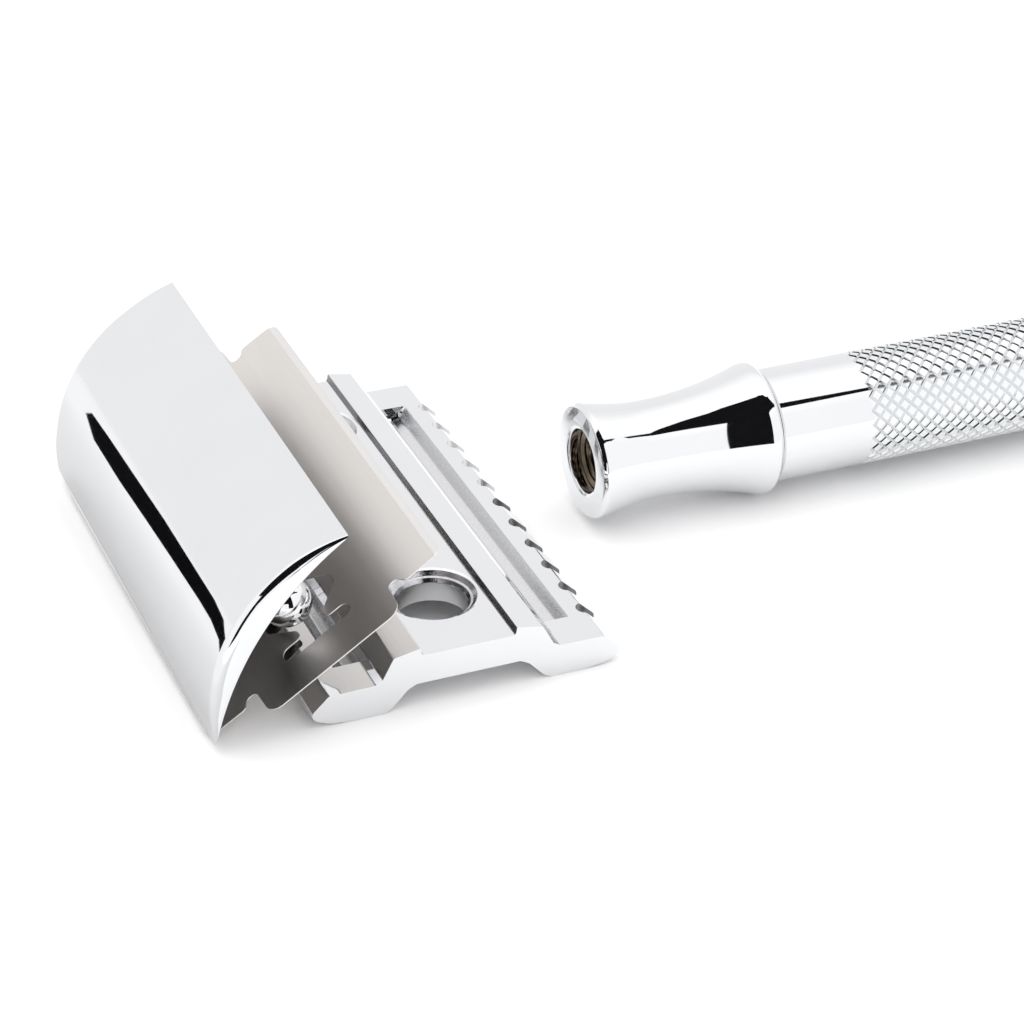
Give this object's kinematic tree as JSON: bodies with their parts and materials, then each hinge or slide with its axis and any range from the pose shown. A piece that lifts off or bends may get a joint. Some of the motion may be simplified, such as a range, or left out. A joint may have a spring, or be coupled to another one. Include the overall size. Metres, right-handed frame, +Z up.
{
  "type": "safety razor",
  "caption": "Three-piece double-edge safety razor laid out apart: notched guard plate, blade leaning on a curved cap with ball-ended posts, and a knurled screw-on handle.",
  "frame": {"origin": "middle of the laid-out razor's box, on the table it lies on", "axes": "+X along the handle, from the head towards the end knob; +Y along the head's long side, away from the near end; +Z up from the table"},
  "size_m": [0.1244, 0.0434, 0.0167],
  "materials": {
    "chrome": "mirror-polished chrome plate",
    "knurled_chrome": "diamond-knurled chrome plate",
    "plated_steel": "machined steel",
    "brass": "machined brass",
    "blade_steel": "satin ground blade steel"
  },
  "bodies": {
    "base_plate": {"base_plate": "chrome"},
    "cap": {"cap_shell": "chrome", "threaded_stud": "plated_steel", "locating_post_near": "chrome", "locating_post_far": "chrome"},
    "blade": {"blade": "blade_steel"},
    "thread_insert": {"thread_insert": "brass"},
    "handle": {"neck": "chrome", "grip_tube": "knurled_chrome", "tie_rod": "plated_steel", "pommel": "chrome"}
  },
  "joints": [
    {"name": "cap_lift", "type": "slide", "parent": "base_plate", "child": "cap", "axis": [-0.829, 0, 0.5592], "range_m": [0, 0.02]},
    {"name": "blade_seat", "type": "hinge", "parent": "cap", "child": "blade", "pos_m": [-0.06, 0.00011, -0.0018], "axis": [0, -1, 0], "range_deg": [0, 21.5]},
    {"name": "handle_advance", "type": "slide", "parent": "base_plate", "child": "thread_insert", "axis": [-1, 0, 0], "range_m": [0, 0.004]},
    {"name": "handle_spin", "type": "hinge", "parent": "thread_insert", "child": "handle", "pos_m": [-0.02381, -0.00049, 0.0056], "axis": [-1, 0, 0], "range_deg": [0, 1801]}
  ],
  "couplings": [
    {"joint": "handle_spin", "follows": "handle_advance", "rad_per_m": 7854}
  ]
}
